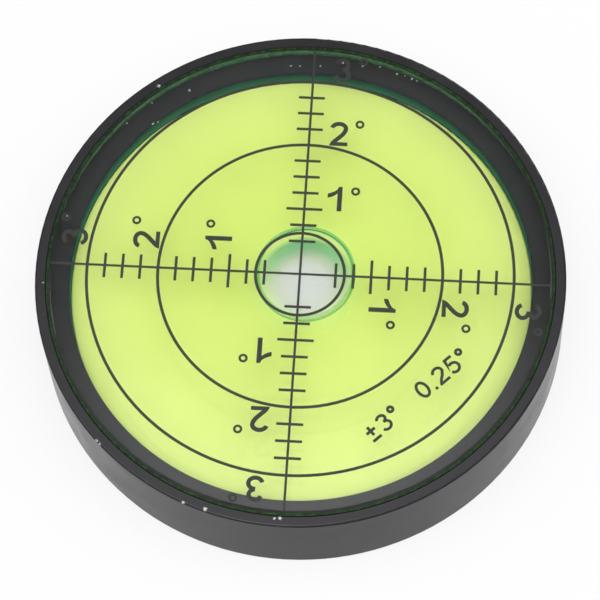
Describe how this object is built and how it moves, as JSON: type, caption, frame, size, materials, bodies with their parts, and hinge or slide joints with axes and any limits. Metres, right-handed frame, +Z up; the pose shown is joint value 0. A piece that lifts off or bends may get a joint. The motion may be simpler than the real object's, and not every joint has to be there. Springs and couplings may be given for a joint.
{
  "type": "bullseye level",
  "caption": "Circular spirit level: turned black aluminium case, clear domed lens with a printed degree dial, and yellow-green liquid with a bubble over a white reflector.",
  "frame": {"origin": "middle of the case's flat base, on the surface that the level stands on", "axes": "+Z up, normal to the base, out through the lens; the dial's crossed lines lie along X and Y"},
  "size_m": [0.06, 0.06, 0.012],
  "materials": {
    "black_anodised_aluminium": "satin black anodised, turned",
    "clear_acrylic": "polished clear acrylic",
    "dial_ink": "printed ink",
    "cement": "dark green set cement",
    "tinted_spirit": "clear yellow-green liquid",
    "white_plastic": "white moulded",
    "plug_brass": "turned brass",
    "seal_rubber": "black nitrile rubber"
  },
  "bodies": {
    "root": {"case": "black_anodised_aluminium", "lens": "clear_acrylic", "graticule": "dial_ink", "lens_cement": "cement", "liquid": "tinted_spirit", "reflector": "white_plastic", "fill_plug": "plug_brass", "fill_seal": "seal_rubber"}
  },
  "joints": []
}
